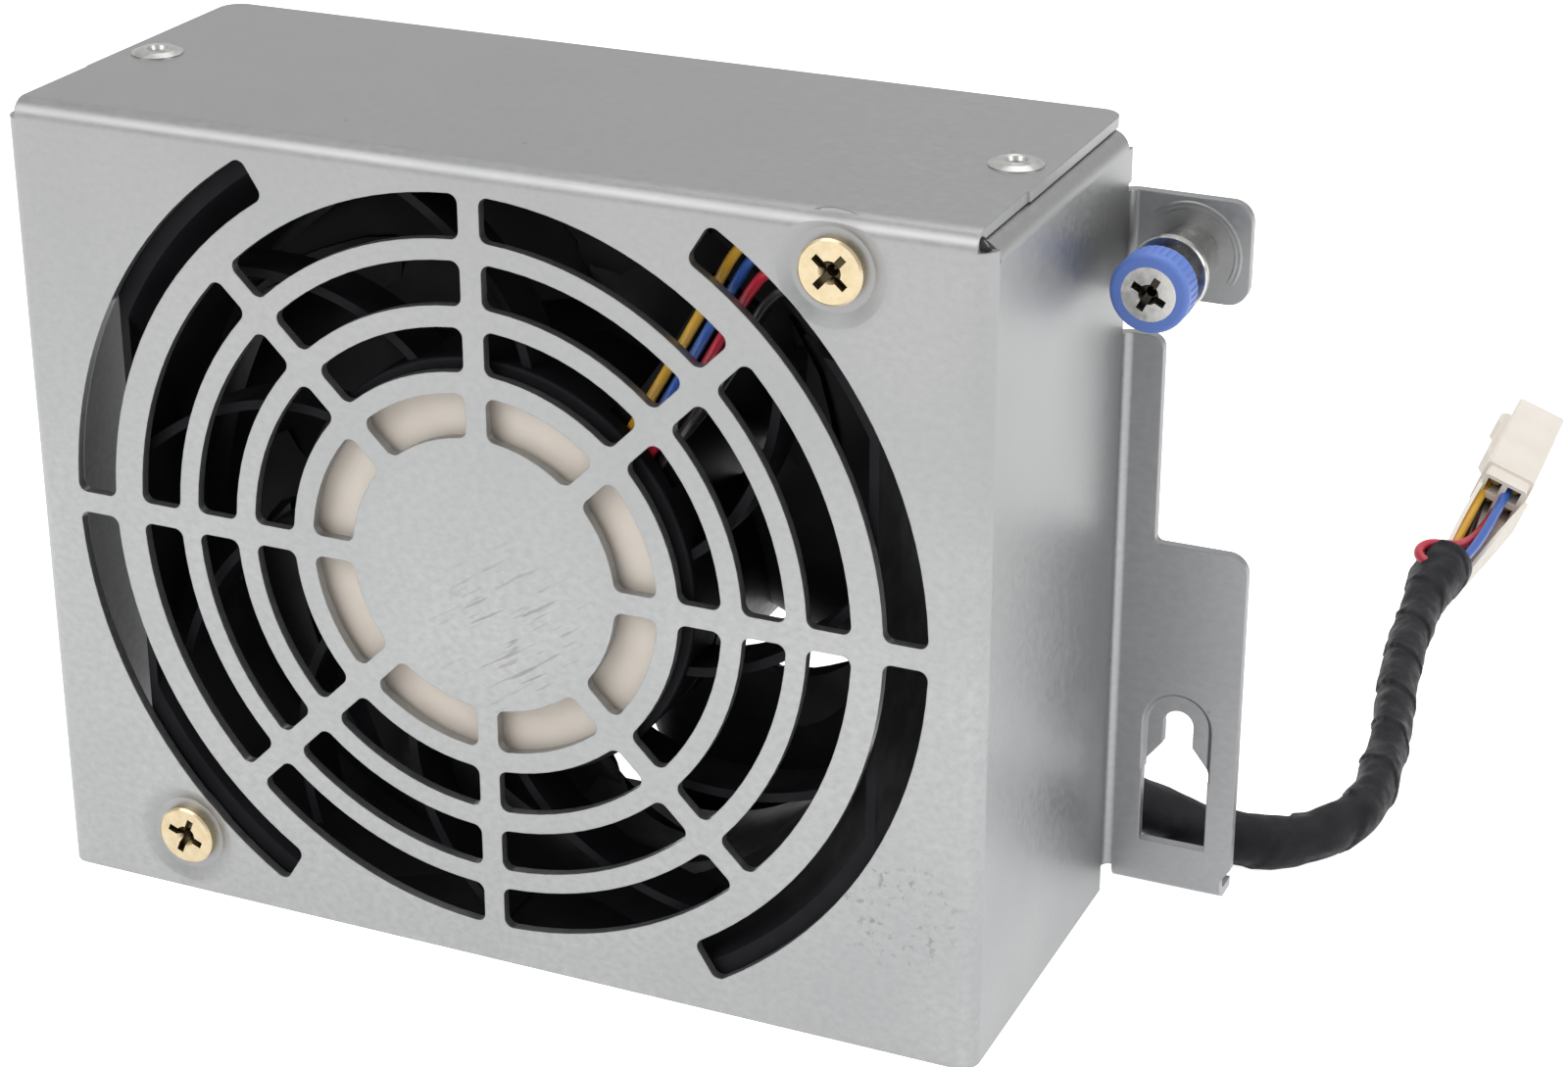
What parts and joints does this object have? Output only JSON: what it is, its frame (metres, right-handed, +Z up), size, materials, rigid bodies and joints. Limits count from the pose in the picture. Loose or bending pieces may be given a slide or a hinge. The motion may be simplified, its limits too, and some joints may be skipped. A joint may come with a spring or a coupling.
{
  "type": "server fan module",
  "caption": "Axial fan in a folded sheet-steel tray with a pierced ring grille, a captive thumbscrew, a keyhole flange and a taped lead with a plug.",
  "frame": {"origin": "on the bottom edge of the front panel's outer face, under the fan's axis", "axes": "+X to the right along the front panel, towards the mounting flange; +Y from the front panel into the tray, along the air flow; +Z up"},
  "size_m": [0.1446, 0.1987, 0.0965],
  "materials": {
    "zinc_sheet": "satin galvanised",
    "rivet_metal": "satin",
    "brass_screw": "bright plated",
    "black_plastic": "fine texture",
    "rotor_plastic": "satin",
    "label_film": "matt",
    "bearing_steel": "bright",
    "sleeve_brass": "machined",
    "core_steel": "dull",
    "copper_wire": "enamelled",
    "board_green": "gloss",
    "yoke_steel": "satin",
    "magnet_black": "dull",
    "shaft_steel": "polished",
    "plated_steel": "bright zinc",
    "cap_blue": "satin",
    "tape_black": "satin tape",
    "wire_yellow": "satin",
    "wire_blue": "satin",
    "wire_red": "satin",
    "wire_black": "satin",
    "plug_cream": "satin"
  },
  "bodies": {
    "module": {"tray": "zinc_sheet", "rivet_left": "rivet_metal", "rivet_right": "rivet_metal", "fan_screw_upper": "brass_screw", "fan_screw_lower": "brass_screw", "fan_frame": "black_plastic", "hub_label": "label_film", "bearing_sleeve": "sleeve_brass", "bearing_front": "bearing_steel", "bearing_rear": "bearing_steel", "stator_core": "core_steel", "winding_1": "copper_wire", "winding_2": "copper_wire", "winding_3": "copper_wire", "winding_4": "copper_wire", "circuit_board": "board_green", "thumb_ferrule": "plated_steel", "cable": "tape_black", "plug_housing": "plug_cream", "lead_yellow": "wire_yellow", "tail_yellow": "wire_yellow", "terminal_yellow": "sleeve_brass", "lead_blue": "wire_blue", "tail_blue": "wire_blue", "terminal_blue": "sleeve_brass", "lead_red": "wire_red", "tail_red": "wire_red", "terminal_red": "sleeve_brass", "lead_black": "wire_black", "tail_black": "wire_black", "terminal_black": "sleeve_brass"},
    "rotor": {"impeller": "rotor_plastic", "rotor_yoke": "yoke_steel", "rotor_magnet": "magnet_black", "shaft": "shaft_steel", "shaft_clip": "yoke_steel"},
    "screw_carrier": {"thumb_washer": "yoke_steel", "thumb_spring": "shaft_steel"},
    "thumb_screw": {"thumb_screw": "plated_steel", "thumb_cap": "cap_blue"}
  },
  "joints": [
    {"name": "rotor_spin", "type": "hinge", "parent": "module", "child": "rotor", "pos_m": [0, 0.02, 0.0484], "axis": [0, 1, 0], "continuous": true},
    {"name": "screw_press", "type": "slide", "parent": "module", "child": "screw_carrier", "axis": [0, 1, 0], "range_m": [0, 0.0028], "stiffness_N_per_m": 400, "springref_m": -0.002, "deforming": ["thumb_spring"]},
    {"name": "screw_turn", "type": "hinge", "parent": "screw_carrier", "child": "thumb_screw", "pos_m": [0.0653, 0.04, 0.08095], "axis": [0, 1, 0], "continuous": true}
  ]
}
